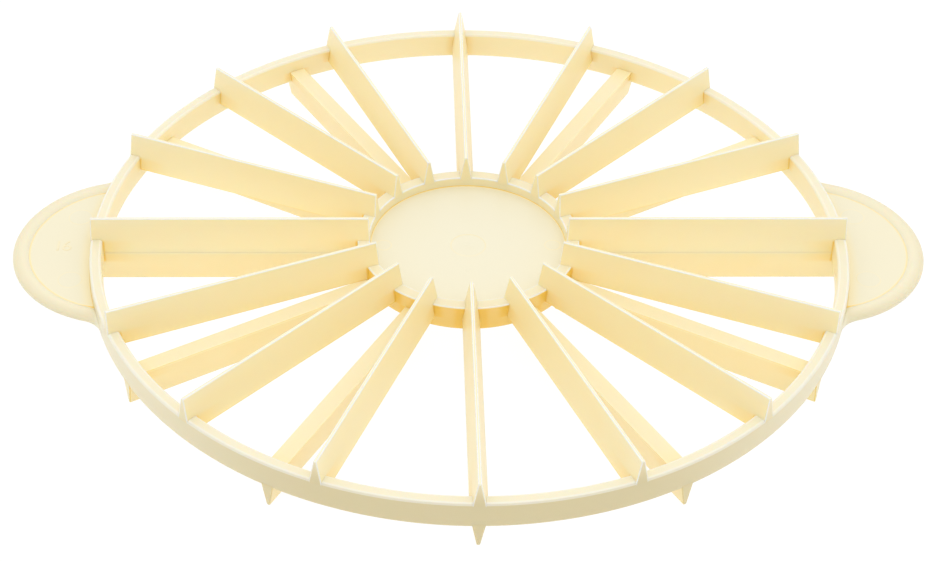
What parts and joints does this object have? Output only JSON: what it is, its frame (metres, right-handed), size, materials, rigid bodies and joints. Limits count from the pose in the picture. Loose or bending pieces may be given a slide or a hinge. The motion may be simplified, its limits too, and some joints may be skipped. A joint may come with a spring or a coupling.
{
  "type": "cake portion marker",
  "caption": "Round double-sided cake portion marker: a ring and dished hub joined by radial wedge blades on both faces, with two flat ear handles.",
  "frame": {"origin": "centre of the hub on the parting plane, which is also the middle of the whole part", "axes": "+X through the right-hand handle, along the longest extent; +Z square to the ring, towards the side with sixteen blades; +Y completes the right-handed set, along a blade on both sides"},
  "size_m": [0.3264, 0.27, 0.0268],
  "materials": {
    "ivory_frame": "satin, smooth draft-polished walls",
    "ivory_blades": "satin, drawn lengthwise",
    "ivory_panel": "fine matte, spark-eroded grain"
  },
  "bodies": {
    "root": {"outer_ring": "ivory_frame", "hub_rim": "ivory_frame", "hub_web": "ivory_panel", "upper_blade_01": "ivory_blades", "upper_blade_02": "ivory_blades", "upper_blade_03": "ivory_blades", "upper_blade_04": "ivory_blades", "upper_blade_05": "ivory_blades", "upper_blade_06": "ivory_blades", "upper_blade_07": "ivory_blades", "upper_blade_08": "ivory_blades", "upper_blade_09": "ivory_blades", "upper_blade_10": "ivory_blades", "upper_blade_11": "ivory_blades", "upper_blade_12": "ivory_blades", "upper_blade_13": "ivory_blades", "upper_blade_14": "ivory_blades", "upper_blade_15": "ivory_blades", "upper_blade_16": "ivory_blades", "lower_blade_01": "ivory_blades", "lower_blade_02": "ivory_blades", "lower_blade_03": "ivory_blades", "lower_blade_04": "ivory_blades", "lower_blade_05": "ivory_blades", "lower_blade_06": "ivory_blades", "lower_blade_07": "ivory_blades", "lower_blade_08": "ivory_blades", "lower_blade_09": "ivory_blades", "lower_blade_10": "ivory_blades", "lower_blade_11": "ivory_blades", "lower_blade_12": "ivory_blades", "left_handle_panel": "ivory_panel", "right_handle_panel": "ivory_panel", "left_handle_bead": "ivory_frame", "right_handle_bead": "ivory_frame"}
  },
  "joints": []
}
